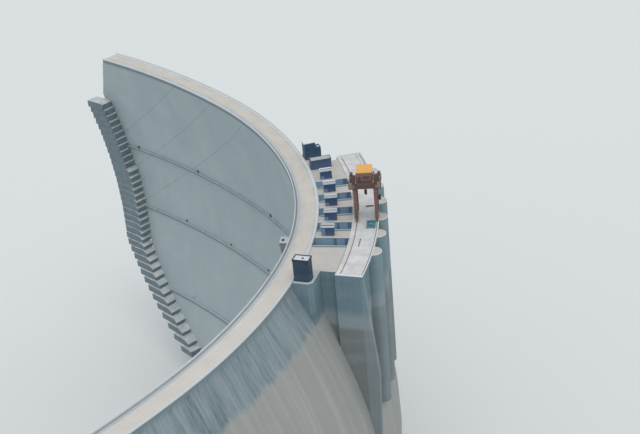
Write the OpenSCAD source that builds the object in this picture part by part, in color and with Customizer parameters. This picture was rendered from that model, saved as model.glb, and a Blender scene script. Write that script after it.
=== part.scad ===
// Double-curvature concrete arch dam of a hydroelectric plant, as a scale model at 1:20.
// The crest is a three-centred arch: +X runs across the valley, -Y points upstream.
// Depths are taken down from the crest road, heights up from the riverbed.

/* [Dam body] */
// Height from the riverbed to the crest road
dam_h = 14500; // [13000:50:15500]
// Thickness of the arch at the crest
crest_w = 750; // [650:10:850]
// Thickness of the arch at its base
base_w = 3400; // [3000:50:3800]
// How far the upstream face bulges out beyond the crest
bulge = 2300; // [2000:20:2500]
// Height of the upright head at the top of both faces
head_h = 250; // [200:10:350]

/* [Arch plan] */
// Radius of the upstream crest edge over the spillway
crown_r = 14250; // [13500:50:15500]
// Radius of the same edge along the inner wings
inner_r = 19700; // [18500:50:21000]
// Radius of the same edge along the outer wings
outer_r = 35700; // [33000:100:38000]
// Length of crest in each wing monolith
block_len = 2215; // [2150:5:2260]
// How far the outermost monoliths run on into the bank past the end of the crest
shoulder_run = 1000; // [800:50:1100]
// Depth of their sloping shoulders
shoulder_drop = 2000; // [1700:50:2200]

/* [Spillway] */
// Distance from the middle of one bay to the next
bay_pitch = 1000; // [960:10:1040]
// Clear width of a bay between two piers
bay_w = 525; // [480:5:560]
// Depth of the sill under the crest road
sill_depth = 1000; // [800:20:1200]
// Reach of the round pier noses in front of the crest edge
nose_reach = 2270; // [2240:5:2320]
// Depth at which the end walls run out on the face of the arch
wall_depth = 7000; // [6800:50:7200]
// Depth of the battered front of the end walls
batter_depth = 3500; // [3300:50:3700]
// How far the end walls' front comes forward over that depth
batter = 330; // [280:10:400]

/* [Crest road] */
// Thickness of the road slab
road_t = 125; // [100:5:150]
// Overhang of the slab beyond the downstream face
road_lip = 50; // [40:5:80]
// Height of the parapets
parapet_h = 60; // [50:2:70]
// Thickness of the parapets
parapet_t = 25; // [20:1:30]
// Width of the raised footway beside the downstream parapet
footway_w = 110; // [90:5:130]
// Height of its kerb
kerb_h = 10; // [6:1:14]

/* [Crane deck] */
// Distance from the crest edge to the near edge of the deck
deck_in = 1120; // [1080:5:1150]
// Distance from the crest edge to the far edge of the deck
deck_out = 1990; // [1960:5:2000]
// Length of the deck to each side of the crown, along the crest
deck_half = 3890; // [3850:10:3930]
// Thickness of the deck slab
deck_t = 125; // [100:5:150]
// Gauge of the crane's rails
gauge = 655; // [630:5:680]
// Width of a rail with its bed
rail_w = 16; // [12:1:20]
// Height of a rail
rail_h = 14; // [10:1:18]

/* [Crane] */
// Place of the crane along the crest, from the crown
crane_at = -480; // [-700:10:700]
// Distance between the wheels along the rails
wheel_base = 600; // [560:10:640]
// Height from the rails to the underside of the girders
portal_h = 1180; // [1120:5:1250]
// Depth of the portal's girders
girder_h = 150; // [120:5:180]
// Length of the girders across the rails
girder_len = 1040; // [1000:10:1100]
// Radius of a wheel's tread
wheel_r = 24; // [20:1:28]
// Length, width and height of the hoist house
hoist_house = [560, 480, 365];
// Height of the hook's eye under the girders
hook_drop = 360; // [300:10:450]

/* [Buildings] */
// Width across the pier, length along it and height of a gate hoist house
gate_house = [150, 400, 350];
// Width, length and height of the control house on the far end block
main_house = [300, 730, 350];
// Width, length and height of a lift tower
tower = [320, 500, 720];
// Width, length and height of the annex to the far tower
annex = [280, 200, 420];
// Distance from the deck's end to the middle of each lift tower, along the crest
tower_aside = 365; // [330:5:410]

/* [Downstream face] */
// Depth of each inspection gallery below the crest road
gallery_depth = [4550, 7500, 11000];
// Width of a gallery
gallery_w = 90; // [70:5:110]
// Thickness of a gallery's slab
gallery_t = 60; // [40:5:80]
// Depth of the first abutment step
step_top = 2250; // [2100:50:2500]
// Rise from one abutment step to the next
step_rise = 300; // [290:5:310]
// Width of the abutment steps, away from the face
step_w = 560; // [500:10:700]

/* [Hidden] */
// Height of the crest road's surface
top = dam_h;
fine = 720;
// Gap left where two pieces meet
seat = 0.5;

// The two faces of the arch, as tables of depth and distance from the crest edge.
// Distances are positive upstream. The bulge is a parabola, the thickness a power law.
bulge_at = 0.58;
face_steps = 12;
function up_at(t) = bulge * (1 - pow((t - bulge_at) / bulge_at, 2));
function thick_at(t) = crest_w + (base_w - crest_w) * pow(t, 0.85);
function depth_at(t) = head_h + (dam_h - head_h) * t;
ladder = [for (i = [0:face_steps]) i / face_steps];
up_face = concat([[0, 0]], [for (t = ladder) [depth_at(t), up_at(t)]]);
down_face = concat([[0, -crest_w]], [for (t = ladder) [depth_at(t), up_at(t) - thick_at(t)]]);
function up(depth) = lookup(depth, up_face);
function down(depth) = lookup(depth, down_face);
leaning = [for (p = up_face) if (p[0] >= head_h && p[0] < bulge_at * dam_h) [p[1], p[0]]];
function depth_of(out) = lookup(out, leaning);

// The three arcs of the plan. Each is [radius, first angle, last angle, start along the crest].
crown_len = 4 * bay_pitch;
inner_blocks = 3;
outer_blocks = 4;
inner_end = crown_len + inner_blocks * block_len;
crest_end = inner_end + outer_blocks * block_len;
outer_end = crest_end + shoulder_run;
outer_len = (outer_end - inner_end) / outer_blocks;
function turn(len, r) = len / r * 180 / PI;
crown_turn = turn(crown_len, crown_r);
inner_turn = crown_turn + turn(inner_end - crown_len, inner_r);
outer_turn = inner_turn + turn(outer_end - inner_end, outer_r);
arcs = [
    [crown_r, 0, crown_turn, 0],
    [inner_r, crown_turn, inner_turn, crown_len],
    [outer_r, inner_turn, outer_turn, inner_end]
];
function heading(a) = [sin(a), -cos(a)];
crown_centre = [0, crown_r];
inner_centre = crown_centre + (crown_r - inner_r) * heading(crown_turn);
outer_centre = inner_centre + (inner_r - outer_r) * heading(inner_turn);
centres = [crown_centre, inner_centre, outer_centre];
function arc_of(s) = s < crown_len ? 0 : s < inner_end ? 1 : 2;
function angle_of(s, k) = arcs[k][1] + turn(s - arcs[k][3], arcs[k][0]);

// The line where the arch meets the rock, as a depth for each place along the crest.
valley_half = 20850;
valley_h = 1.02 * dam_h;
valley_bend = 2.35;
valley_steep = 0.27;
function rock_depth(s) = min(dam_h, valley_h * pow(1 - pow(s / valley_half, valley_bend), valley_steep));
function rock_at(depth) = valley_half * pow(1 - pow(depth / valley_h, 1 / valley_steep), 1 / valley_bend);

// Steps that climb the rock along the toe of the downstream face: the far edge of each
// follows the rock, or a steeper line of its own near the crest.
step_count = 36;
step_run = 50;
step_len = 900;
step_lap = 300;
function step_depth(i) = step_top + i * step_rise;
function step_from(i) = min(rock_at(step_depth(i)), outer_end - step_run * i) - step_lap;
function step_index(depth) = floor((depth - step_top) / step_rise);

// The origin lies under the middle of the whole outline, between the bulge and the outer steps.
function plan_point(s, out, k) = centres[k] + (arcs[k][0] + out) * heading(angle_of(s, k));
front = -max([for (p = up_face) p[1]]);
function step_back(i) = plan_point(step_from(i) + step_len, down(step_depth(i)) - step_w, 2)[1];
back = max([for (i = [0:step_count - 1]) step_back(i)]);
back_shift = (front + back) / 2;

// Puts a piece made at the origin at a place along the crest: its x runs along the crest,
// its y downstream from the crest edge.
module at(s) {
    k = arc_of(abs(s));
    a = angle_of(abs(s), k);
    if (s < 0) {
        translate(mirror_x(centres[k] + arcs[k][0] * heading(a))) rotate([0, 0, -a]) children();
    } else {
        translate(centres[k] + arcs[k][0] * heading(a)) rotate([0, 0, a]) children();
    }
}
function mirror_x(p) = [-p[0], p[1]];

// Turns an outline of [distance upstream, height] along the crest from one place to another,
// inside one of the three arcs.
module sweep_arc(k, from, to, outline) {
    a = angle_of(from, k);
    b = angle_of(to, k);
    translate(centres[k]) rotate([0, 0, a - 90]) {
        rotate_extrude(angle = b - a, $fn = fine) {
            polygon([for (p = outline) [arcs[k][0] + p[0], p[1]]]);
        }
    }
}

// The same along the whole crest, over as many arcs as it takes.
module sweep(from, to, outline) {
    starts = [0, crown_len, inner_end];
    ends = [crown_len, inner_end, 2 * outer_end];
    for (k = [0:2]) {
        if (max(from, starts[k]) < min(to, ends[k])) {
            sweep_arc(k, max(from, starts[k]), min(to, ends[k]), outline);
        }
    }
}

module both_sides() {
    children();
    mirror([1, 0, 0]) children();
}

// The points of a face between two depths, moved out by a little where a piece lies on it.
function inside(face, high, low, off = 0) = [
    for (p = face) if (p[0] > high && p[0] < low) [p[1] + off, top - p[0]]
];
function reversed(list) = [for (i = [len(list) - 1:-1:0]) list[i]];

// An outline cut by the two faces between two depths.
function body_outline(high, low) = concat(
    [[up(high), top - high]],
    inside(up_face, high, low),
    [[up(low), top - low], [down(low), top - low]],
    reversed(inside(down_face, high, low)),
    [[down(high), top - high]]
);
function box_outline(out_a, out_b, z_a, z_b) = [[out_a, z_a], [out_b, z_a], [out_b, z_b], [out_a, z_b]];

// Outline that lies against the upstream face, from the crest down to where the face has
// leaned out as far as a plane.
function lean_outline(out) = concat(
    [[seat, top]],
    inside(up_face, 0, depth_of(out - seat), seat),
    [[out, top - depth_of(out - seat)]]
);

// Outline of what lies against the downstream face between two depths, up to a plane past it.
function ledge_outline(high, low, wide) = concat(
    [[down(high) - wide, top - low], [down(high) - wide, top - high], [down(high) - seat, top - high]],
    inside(down_face, high, low, -seat),
    [[down(low) - seat, top - low]]
);

// One monolith between two contraction joints, down to the rock.
module monolith(from, to) {
    k = arc_of((from + to) / 2);
    mid = (from + to) / 2;
    reach = to - from;
    rise = (rock_depth(from) - rock_depth(to)) / reach;
    z_mid = top - (rock_depth(from) + rock_depth(to)) / 2;
    difference() {
        sweep_arc(k, from + seat / 2, to - seat / 2, body_outline(road_t + seat, dam_h));
        if (rise > 0) {
            at(mid) rotate([90, 0, 0]) linear_extrude(4 * base_w, center = true) {
                polygon([
                    [-reach, z_mid - rise * reach], [reach, z_mid + rise * reach],
                    [reach, -reach], [-reach, -reach - rise * reach]
                ]);
            }
        }
    }
}

// The opening of one bay through the head of the arch, over its sill. The sill dips a little
// to its middle and falls away downstream of it.
sill_dip = 30;
sill_fall = 450;
module bay_cut(s) {
    sill = top - sill_depth;
    sweep_arc(0, s - bay_w / 2, s + bay_w / 2, [
        [crest_w, top], [crest_w, sill], [0, sill],
        [-crest_w / 2, sill - sill_dip], [-2 * crest_w, sill - sill_fall], [-2 * crest_w, top]
    ]);
}

module crown_monolith(i) {
    bounds = [0, bay_pitch, 2 * bay_pitch, crown_len];
    color("lightslategray") difference() {
        monolith(bounds[i], bounds[i + 1]);
        bay_cut(bounds[i]);
        if (i < 2) bay_cut(bounds[i + 1]);
    }
}

function wing_joint(i) = i < inner_blocks
    ? crown_len + i * block_len
    : inner_end + (i - inner_blocks) * outer_len;

// The last one slopes down from the end of the crest to its upright end face in the bank.
module wing_monolith(i) {
    color("lightslategray") difference() {
        monolith(wing_joint(i), wing_joint(i + 1));
        if (i == inner_blocks + outer_blocks - 1) {
            at(crest_end) rotate([90, 0, 0]) linear_extrude(4 * base_w, center = true) {
                polygon([[0, top], [2 * shoulder_run, top - 2 * shoulder_drop], [2 * shoulder_run, top]]);
            }
        }
    }
}

// Road slab along the whole crest, a bridge over the bays.
module crest_road() {
    color("antiquewhite") both_sides() {
        sweep(0, crest_end, box_outline(0, -crest_w - road_lip, top, top - road_t));
    }
}

module upstream_parapet() {
    color("whitesmoke") both_sides() {
        sweep(0, crest_end, box_outline(0, -parapet_t, top, top + parapet_h));
    }
}

module downstream_parapet() {
    edge = -crest_w - road_lip;
    color("whitesmoke") both_sides() {
        sweep(0, crest_end, [
            [edge, top], [edge, top + parapet_h], [edge + parapet_t, top + parapet_h],
            [edge + parapet_t, top + kerb_h], [edge + footway_w, top + kerb_h], [edge + footway_w, top]
        ]);
    }
}

// A pier widens with the radius and ends in a round nose, a little narrower than the pier.
pier_w = bay_pitch - bay_w;
nose_shoulder = 12;
nose_lap = 20;
nose_turn = turn(pier_w / 2, crown_r);
nose_r = (crown_r + nose_reach) * sin(nose_turn) / (1 + sin(nose_turn)) - nose_shoulder;
nose_out = nose_reach - nose_r;

// What stands before the upstream face as far as an upright plane, with a seat for the deck.
under_deck = top - deck_t - seat;
deck_seat = [[deck_in - seat, under_deck], [deck_in - seat, top]];
pier_outline = concat(
    lean_outline(nose_out),
    [[nose_out, top], [deck_out + seat, top], [deck_out + seat, under_deck]],
    deck_seat
);

module pier(s) {
    sweep_arc(0, s - pier_w / 2, s + pier_w / 2, pier_outline);
    low = depth_of(nose_out - nose_lap);
    at(s) translate([0, -nose_out, top - low]) linear_extrude(low) intersection() {
        circle(nose_r, $fn = 96);
        translate([-nose_r, -nose_r]) square([2 * nose_r, nose_r + nose_lap]);
    }
}

module spillway_piers() {
    color("slategray") both_sides() {
        for (i = [0:2]) pier((i + 0.5) * bay_pitch);
    }
}

// Solid block under each end of the deck: the platform beyond the last pier and the end wall.
wall_w = 160;
wall_from = deck_half - wall_w;
recess = 100;
module end_block() {
    wall_in = depth_of(deck_in - seat);
    color("slategray") {
        sweep_arc(0, 2.5 * bay_pitch + pier_w / 2 + seat, wall_from - seat, concat(
            lean_outline(deck_out - recess), [[deck_out - recess, under_deck]], deck_seat
        ));
        sweep_arc(0, wall_from, deck_half, concat(
            [[deck_in, under_deck], [deck_in, top - wall_in]],
            inside(up_face, wall_in, wall_depth, seat),
            [
                [up(wall_depth) + seat, top - wall_depth],
                [deck_out + batter, top - batter_depth],
                [deck_out, under_deck]
            ]
        ));
    }
}

module crane_deck() {
    color("lightgray") both_sides() {
        sweep(0, deck_half, box_outline(deck_in, deck_out, top - deck_t, top));
    }
}

// The rails lie nearer the deck's outer edge than its inner one, and stop short of its ends.
rail_mid = deck_out - 385;
rail_out = [rail_mid - gauge / 2, rail_mid + gauge / 2];
rail_half = deck_half - 100;
module crane_rails() {
    color("dimgray") both_sides() {
        for (r = rail_out) {
            sweep(0, rail_half, box_outline(r - rail_w / 2, r + rail_w / 2, top, top + rail_h));
        }
    }
}

// A plain house with a roof slab that stands a little proud of its walls.
roof_t = 30;
eave = 12;
module house(size, wall_colour, roof_colour, slab_t = roof_t) {
    color(wall_colour) translate([-size[0] / 2, -size[1] / 2, 0]) {
        cube([size[0], size[1], size[2] - slab_t]);
    }
    color(roof_colour) translate([-size[0] / 2 - eave, -size[1] / 2 - eave, size[2] - slab_t]) {
        cube([size[0] + 2 * eave, size[1] + 2 * eave, slab_t]);
    }
}

// The gate houses stand a little to one side of the middle of their piers, under deep roofs.
gate_house_out = 220;
gate_house_aside = 45;
gate_roof_t = 50;
module gate_houses() {
    for (i = [-1.5:1:2.5]) {
        at(i * bay_pitch - gate_house_aside) {
            translate([0, -gate_house[1] / 2 - gate_house_out, top + seat]) {
                house(gate_house, "midnightblue", "whitesmoke", gate_roof_t);
            }
        }
    }
}

main_house_at = 3370;
main_house_out = 40;
module control_house() {
    at(main_house_at) translate([0, -main_house[1] / 2 - main_house_out, top + seat]) {
        house(main_house, "midnightblue", "beige");
    }
}

// Shaft of a lift, which stands out of the upstream face between its tower and the deck's
// end block. Its outer corner is cut off as far down as the face has not yet leaned out to it.
shaft_from = wall_from + 2;
shaft_w = 818;
shaft_end = shaft_from + shaft_w;
shaft_out = 625;
shaft_cut = 135;
module lift_shaft() {
    cut_depth = depth_of(shaft_out - 1.5 * shaft_cut);
    color("slategray") difference() {
        sweep_arc(1, shaft_from, shaft_end, concat(lean_outline(shaft_out), [[shaft_out, top]]));
        at(shaft_end) translate([0, -shaft_out, top]) rotate([0, 0, 45]) {
            cube([shaft_cut * sqrt(2), shaft_cut * sqrt(2), 2 * cut_depth], center = true);
        }
    }
}

module lift_shafts() {
    both_sides() lift_shaft();
}

tower_at = deck_half + tower_aside;
tower_out = 20;
module lift_tower() {
    at(tower_at) translate([0, -tower[1] / 2 - tower_out, top + seat]) {
        house(tower, "darkslategray", "whitesmoke");
    }
}

// The far tower is shorter, with a lower annex towards the water.
tower_cut = [0, 90, 60];
module lift_tower_with_annex() {
    size = tower - tower_cut;
    at(tower_at) translate([0, -tower_out, top + seat]) {
        translate([0, -size[1] / 2, 0]) house(size, "darkslategray", "whitesmoke");
        translate([-annex[0] / 2, -size[1] - annex[1], 0]) {
            color("darkslategray") cube(annex + [0, seat, 0]);
        }
    }
}

// Gallery that runs round the downstream face at one depth.
module gallery(i) {
    d = gallery_depth[i];
    end = step_from(step_index(d + gallery_t)) - seat;
    color("lightsteelblue") both_sides() sweep(0, end, ledge_outline(d, d + gallery_t, gallery_w));
}

module abutment_step(i) {
    depth = step_depth(i);
    outline = ledge_outline(depth, depth + step_rise - seat, step_w);
    sweep_arc(2, step_from(i), step_from(i) + step_len, outline);
}

module abutment_steps() {
    color("gray") for (i = [0:step_count - 1]) abutment_step(i);
}

// Small platform that stands out from the downstream edge of the road.
platform_at = 1900;
platform_size = [420, 280];
module crest_platform() {
    edge = -crest_w - road_lip;
    color("antiquewhite") mirror([1, 0, 0]) {
        sweep(platform_at - platform_size[0] / 2, platform_at + platform_size[0] / 2,
            box_outline(edge - seat, edge - platform_size[1], top - road_t, top));
    }
}

// The crane stands square to the rails at its own place along the deck.
crane_turn = turn(crane_at, crown_r);
module crane_frame() {
    translate(crown_centre) rotate([0, 0, crane_turn]) {
        translate([0, -crown_r - rail_mid, top + rail_h]) children();
    }
}

// Two wheels under each leg, in a bogie frame.
bogie_h = 90;
bogie_size = [190, 60];
wheel_at = 60;
axle_z = wheel_r + seat;
module crane_bogies() {
    color("saddlebrown") crane_frame() {
        for (x = [-1, 1] * wheel_base / 2, y = [-1, 1] * gauge / 2) translate([x, y, 0]) {
            translate([-bogie_size[0] / 2, -bogie_size[1] / 2, axle_z]) {
                cube([bogie_size[0], bogie_size[1], bogie_h - axle_z]);
            }
            for (w = [-1, 1] * wheel_at) translate([w, 0, axle_z]) rotate([90, 0, 0]) {
                cylinder(r = wheel_r, h = rail_w, center = true, $fn = 48);
            }
        }
    }
}

// Four square legs under a rectangle of box girders, tied low down by a beam over each rail,
// with a floor over each overhang of the girders.
leg = 110;
tie_h = 90;
tie_lift = 40;
tie_inset = 10;
floor_t = 20;
module crane_portal() {
    floor_w = (girder_len - gauge) / 2;
    color("saddlebrown") crane_frame() {
        for (y = [-1, 1] * gauge / 2) {
            for (x = [-1, 1] * wheel_base / 2) translate([x - leg / 2, y - leg / 2, bogie_h]) {
                cube([leg, leg, portal_h - bogie_h]);
            }
            translate([-wheel_base / 2, y - leg / 2 + tie_inset, bogie_h + tie_lift]) {
                cube([wheel_base, leg - 2 * tie_inset, tie_h]);
            }
            translate([-wheel_base / 2 - leg / 2, y - leg / 2, portal_h]) {
                cube([wheel_base + leg, leg, girder_h]);
            }
        }
        for (x = [-1, 1] * wheel_base / 2) translate([x - leg / 2, -girder_len / 2, portal_h]) {
            cube([leg, girder_len, girder_h]);
        }
        for (y = [-girder_len / 2, gauge / 2]) {
            translate([-wheel_base / 2, y, portal_h + girder_h - floor_t]) {
                cube([wheel_base, floor_w, floor_t]);
            }
        }
    }
}

// The hoist house on its frame, which rolls along the girders.
frame_t = 50;
frame_lap = 60;
module crane_trolley() {
    crane_frame() translate([0, 0, portal_h + girder_h + seat]) {
        color("saddlebrown") translate([-wheel_base / 2 - frame_lap, -hoist_house[1] / 2, 0]) {
            cube([wheel_base + 2 * frame_lap, hoist_house[1], frame_t]);
        }
        translate([0, 0, frame_t]) house(hoist_house, "saddlebrown", "orange");
    }
}

// Hook block with the hook's shank under it, on two ropes.
hook_z = portal_h - hook_drop;
block = [40, 90, 60];
shank_r = 14;
shank_h = 45;
module crane_hook() {
    color("dimgray") crane_frame() {
        translate([-block[0] / 2, -block[1] / 2, hook_z]) cube(block);
        translate([0, 0, hook_z - shank_h]) cylinder(r = shank_r, h = shank_h, $fn = 32);
    }
}

rope_at = 30;
rope_r = 5;
module crane_ropes() {
    low = hook_z + block[2];
    color("dimgray") crane_frame() {
        for (y = [-1, 1] * rope_at) translate([0, y, low]) {
            cylinder(r = rope_r, h = portal_h + girder_h + seat - low, $fn = 24);
        }
    }
}

module place() {
    translate([0, -back_shift, 0]) children();
}

place() mirror([1, 0, 0]) crown_monolith(2);  // crown_block_1
place() mirror([1, 0, 0]) crown_monolith(1);  // crown_block_2
place() mirror([1, 0, 0]) crown_monolith(0);  // crown_block_3
place() crown_monolith(0);  // crown_block_4
place() crown_monolith(1);  // crown_block_5
place() crown_monolith(2);  // crown_block_6
place() mirror([1, 0, 0]) wing_monolith(0);  // left_block_1
place() mirror([1, 0, 0]) wing_monolith(1);  // left_block_2
place() mirror([1, 0, 0]) wing_monolith(2);  // left_block_3
place() mirror([1, 0, 0]) wing_monolith(3);  // left_block_4
place() mirror([1, 0, 0]) wing_monolith(4);  // left_block_5
place() mirror([1, 0, 0]) wing_monolith(5);  // left_block_6
place() mirror([1, 0, 0]) wing_monolith(6);  // left_block_7
place() wing_monolith(0);  // right_block_1
place() wing_monolith(1);  // right_block_2
place() wing_monolith(2);  // right_block_3
place() wing_monolith(3);  // right_block_4
place() wing_monolith(4);  // right_block_5
place() wing_monolith(5);  // right_block_6
place() wing_monolith(6);  // right_block_7
place() crest_road();
place() upstream_parapet();
place() downstream_parapet();
place() spillway_piers();
place() mirror([1, 0, 0]) end_block();  // left_end_block
place() end_block();  // right_end_block
place() crane_deck();
place() crane_rails();
place() gate_houses();
place() control_house();
place() lift_shafts();
place() mirror([1, 0, 0]) lift_tower();  // left_lift_tower
place() lift_tower_with_annex();  // right_lift_tower
place() gallery(0);  // upper_gallery
place() gallery(1);  // middle_gallery
place() gallery(2);  // lower_gallery
place() mirror([1, 0, 0]) abutment_steps();  // left_steps
place() abutment_steps();  // right_steps
place() crest_platform();
place() crane_bogies();
place() crane_portal();
place() crane_trolley();
place() crane_hook();
place() crane_ropes();
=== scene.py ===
import math

import bmesh
import bpy
from mathutils import Matrix, Vector


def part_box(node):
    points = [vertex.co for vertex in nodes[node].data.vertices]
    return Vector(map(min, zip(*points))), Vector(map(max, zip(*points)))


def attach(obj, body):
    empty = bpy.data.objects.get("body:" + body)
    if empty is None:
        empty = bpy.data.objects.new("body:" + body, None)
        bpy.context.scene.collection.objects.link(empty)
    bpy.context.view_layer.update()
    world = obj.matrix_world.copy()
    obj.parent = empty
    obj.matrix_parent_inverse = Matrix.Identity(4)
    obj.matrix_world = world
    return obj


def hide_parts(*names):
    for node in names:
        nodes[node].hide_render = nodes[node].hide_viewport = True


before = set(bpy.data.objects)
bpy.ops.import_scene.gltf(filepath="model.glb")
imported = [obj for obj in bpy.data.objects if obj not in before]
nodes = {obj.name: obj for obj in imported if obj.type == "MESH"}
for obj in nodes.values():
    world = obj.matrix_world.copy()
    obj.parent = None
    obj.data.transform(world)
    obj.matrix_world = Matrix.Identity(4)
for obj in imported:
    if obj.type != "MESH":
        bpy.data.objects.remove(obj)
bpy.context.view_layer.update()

# Mass concrete of the arch.
# Cast in monoliths with upright contraction joints, in lifts of about three metres. Rain
# and the reservoir leave streaks from the crest down to the water's highest level, and a
# smoother, warmer skin below it.
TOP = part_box("crest_road")[1].z
RADII = (14.25, 19.7, 35.7)
CROWN_END, INNER_END, CREST_END = 4.0, 10.645, 19.505
CROWN_TURN = CROWN_END / RADII[0]
INNER_TURN = CROWN_TURN + (INNER_END - CROWN_END) / RADII[1]
STAIN_DEPTH = 1.4
GALLERY_DEPTHS = (4.55, 7.5, 11.0)
SEAM_RISE, SEAM_PITCH, SEAM_START = 0.69, 1.93, -5.95


def heading(a):
    return Vector((math.sin(a), -math.cos(a)))


CENTRES = [Vector((0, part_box("crest_road")[0].y + RADII[0]))]
CENTRES.append(CENTRES[0] + (RADII[0] - RADII[1]) * heading(CROWN_TURN))
CENTRES.append(CENTRES[1] + (RADII[1] - RADII[2]) * heading(INNER_TURN))


def linear(code):
    """Colour of a surface from its hexadecimal code."""
    parts = [int(code[i:i + 2], 16) / 255 for i in (0, 2, 4)]
    return [p / 12.92 if p <= 0.04045 else ((p + 0.055) / 1.055) ** 2.4 for p in parts] + [1]


class Graph:
    """Short names for the nodes of one tree."""

    def __init__(self, tree):
        self.tree = tree

    def put(self, socket, value):
        if isinstance(value, bpy.types.NodeSocket):
            self.tree.links.new(value, socket)
        else:
            socket.default_value = value

    def node(self, kind, values=(), **settings):
        made = self.tree.nodes.new(kind)
        for key, value in settings.items():
            setattr(made, key, value)
        for key, value in dict(values).items():
            self.put(made.inputs[key], value)
        return made

    def math(self, operation, *values):
        return self.node("ShaderNodeMath", dict(enumerate(values)), operation=operation).outputs[0]

    def mix(self, share, a, b):
        """Blend of two colours, each a socket or a hexadecimal code."""
        made = self.node("ShaderNodeMix", data_type="RGBA")
        for i, value in ((0, share), (6, a), (7, b)):
            self.put(made.inputs[i], linear(value) if isinstance(value, str) else value)
        return made.outputs[2]

    def ramp(self, value, low, high, at_low=0.0, at_high=1.0):
        values = {0: value, 1: low, 2: high, 3: at_low, 4: at_high}
        return self.node("ShaderNodeMapRange", values, clamp=True).outputs[0]

    def noise(self, place, size, detail=4.0, rough=0.55):
        values = {"Vector": place, "Scale": 1 / size, "Detail": detail, "Roughness": rough}
        return self.node("ShaderNodeTexNoise", values).outputs["Fac"]

    def stretch(self, place, x, y, z):
        return self.node("ShaderNodeMapping", {"Vector": place, "Scale": (x, y, z)}).outputs[0]

    def output(self, kind, values=(), **settings):
        return self.node(kind, values, **settings).outputs[0]

    def object_place(self):
        return self.node("ShaderNodeTexCoord").outputs["Object"]

    def object_xyz(self):
        return self.node("ShaderNodeSeparateXYZ", {0: self.object_place()}).outputs

    def facing(self, axis):
        normal = self.node("ShaderNodeTexCoord").outputs["Normal"]
        return self.node("ShaderNodeSeparateXYZ", {0: normal}).outputs[axis]

    def upward(self, low=0.6, high=0.8):
        return self.ramp(self.facing(2), low, high)

    def streaks(self, spot, stretch, size, detail=4.0, rough=0.55):
        """Noise laid out along the arch and drawn out in some directions."""
        return self.noise(self.stretch(spot["Unrolled"], *stretch), size, detail, rough)

    def tint(self, mask, share, base, code):
        return self.mix(self.math("MULTIPLY", mask, share), base, code)

    def group(self, tree, values=()):
        made = self.node("ShaderNodeGroup", node_tree=tree)
        for key, value in dict(values).items():
            self.put(made.inputs[key], value)
        return made.outputs


def shader_group(name, inputs, outputs):
    """A group of shader nodes with named inputs and outputs."""
    tree = bpy.data.node_groups.new(name, "ShaderNodeTree")
    for key, kind, value in inputs:
        socket = tree.interface.new_socket(key, in_out="INPUT", socket_type=kind)
        socket.default_value = value
    for key, kind in outputs:
        tree.interface.new_socket(key, in_out="OUTPUT", socket_type=kind)
    return Graph(tree), tree.nodes.new("NodeGroupInput").outputs, tree.nodes.new("NodeGroupOutput").inputs


FLOAT, VECTOR = "NodeSocketFloat", "NodeSocketVector"

# Place on the arch: length round the crest, distance out from its edge, and depth below it.
g, _, result = shader_group(
    "place_on_arch", [], [("Along", FLOAT), ("Out", FLOAT), ("Depth", FLOAT), ("Unrolled", VECTOR)],
)
x, y, z = g.object_xyz()
side = g.math("ABSOLUTE", x)
angles, outs = [], []
for centre, radius in zip(CENTRES, RADII):
    dx = g.math("SUBTRACT", side, centre.x)
    dy = g.math("SUBTRACT", centre.y, y)
    angles.append(g.math("ARCTAN2", dx, dy))
    reach = g.math("SQRT", g.math("ADD", g.math("MULTIPLY", dx, dx), g.math("MULTIPLY", dy, dy)))
    outs.append(g.math("SUBTRACT", reach, radius))
first = g.math("MULTIPLY", g.math("MINIMUM", angles[0], CROWN_TURN), RADII[0])
second = g.math("MINIMUM", g.math("MAXIMUM", angles[1], CROWN_TURN), INNER_TURN)
second = g.math("SUBTRACT", second, CROWN_TURN)
third = g.math("SUBTRACT", g.math("MAXIMUM", angles[2], INNER_TURN), INNER_TURN)
length = g.math("ADD", first, g.math("MULTIPLY", second, RADII[1]))
length = g.math("ADD", length, g.math("MULTIPLY", third, RADII[2]))
length = g.math("MULTIPLY", length, g.math("SIGN", x))
out = outs[0]
for k, turn in ((1, CROWN_TURN), (2, INNER_TURN)):
    past = g.math("GREATER_THAN", angles[k - 1], turn)
    out = g.math("ADD", out, g.math("MULTIPLY", past, g.math("SUBTRACT", outs[k], out)))
depth = g.math("SUBTRACT", TOP, z)
for key, value in (("Along", length), ("Out", out), ("Depth", depth)):
    g.put(result[key], value)
g.put(result["Unrolled"], g.node("ShaderNodeCombineXYZ", {0: length, 1: out, 2: depth}).outputs[0])
place_on_arch = g.tree

# Thin lines at a regular spacing, such as joints.
g, given, result = shader_group(
    "joint_lines",
    [("Value", FLOAT, 0.0), ("Spacing", FLOAT, 1.0), ("Start", FLOAT, 0.0), ("Width", FLOAT, 0.01)],
    [("Line", FLOAT)],
)
turns = g.math("DIVIDE", g.math("SUBTRACT", given["Value"], given["Start"]), given["Spacing"])
away = g.math("ABSOLUTE", g.math("SUBTRACT", turns, g.math("ROUND", turns)))
away = g.math("MULTIPLY", away, given["Spacing"])
g.put(result["Line"], g.ramp(away, 0.0, given["Width"], 1.0, 0.0))
joint_lines = g.tree


def line_mask(graph, value, spacing, width, start=0.0):
    values = {"Value": value, "Spacing": spacing, "Start": start, "Width": width}
    return graph.group(joint_lines, values)["Line"]



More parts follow.
